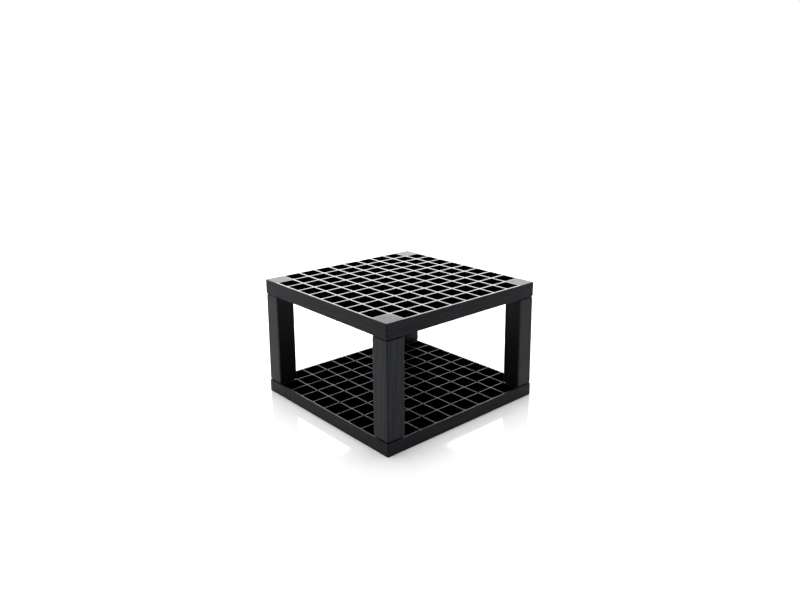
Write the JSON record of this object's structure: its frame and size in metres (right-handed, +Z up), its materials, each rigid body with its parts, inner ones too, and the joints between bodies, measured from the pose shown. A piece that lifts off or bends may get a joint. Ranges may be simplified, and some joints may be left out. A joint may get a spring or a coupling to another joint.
{
  "type": "paint brush rack",
  "caption": "Square desktop rack for paint brushes and pencils: a top tray of square holes over a matching base tray, held apart by a push-fit post at each corner.",
  "frame": {"origin": "centre of the underside of the base tray", "axes": "+Z up through the middle of both trays; +X and +Y square to the sides, with the front post at +X -Y"},
  "size_m": [0.146, 0.146, 0.0914],
  "materials": {
    "tray_gloss": "black moulded polystyrene, glossy rib tops, faintly mottled corner squares",
    "tray_satin": "black moulded polystyrene, satin",
    "post_satin": "black moulded polystyrene, fine satin texture"
  },
  "bodies": {
    "base": {"base_tray_right": "tray_satin", "base_tray_back": "tray_satin", "base_tray_left": "tray_satin", "base_tray_front": "tray_satin", "base_tray_floor": "tray_satin"},
    "top": {"top_tray_right": "tray_gloss", "top_tray_back": "tray_gloss", "top_tray_left": "tray_gloss", "top_tray_front": "tray_gloss"},
    "front_post": {"post_front": "post_satin"},
    "right_post": {"post_right": "post_satin"},
    "back_post": {"post_back": "post_satin"},
    "left_post": {"post_left": "post_satin"}
  },
  "joints": [
    {"name": "top_tray_lift", "type": "slide", "parent": "base", "child": "top", "axis": [0, 0, 1], "range_m": [0, 0.0146]},
    {"name": "front_post_lift", "type": "slide", "parent": "base", "child": "front_post", "axis": [0, 0, 1], "range_m": [0, 0.0073]},
    {"name": "right_post_lift", "type": "slide", "parent": "base", "child": "right_post", "axis": [0, 0, 1], "range_m": [0, 0.0073]},
    {"name": "back_post_lift", "type": "slide", "parent": "base", "child": "back_post", "axis": [0, 0, 1], "range_m": [0, 0.0073]},
    {"name": "left_post_lift", "type": "slide", "parent": "base", "child": "left_post", "axis": [0, 0, 1], "range_m": [0, 0.0073]}
  ],
  "couplings": [
    {"joint": "front_post_lift", "follows": "top_tray_lift", "ratio": 0.5},
    {"joint": "right_post_lift", "follows": "top_tray_lift", "ratio": 0.5},
    {"joint": "back_post_lift", "follows": "top_tray_lift", "ratio": 0.5},
    {"joint": "left_post_lift", "follows": "top_tray_lift", "ratio": 0.5}
  ]
}
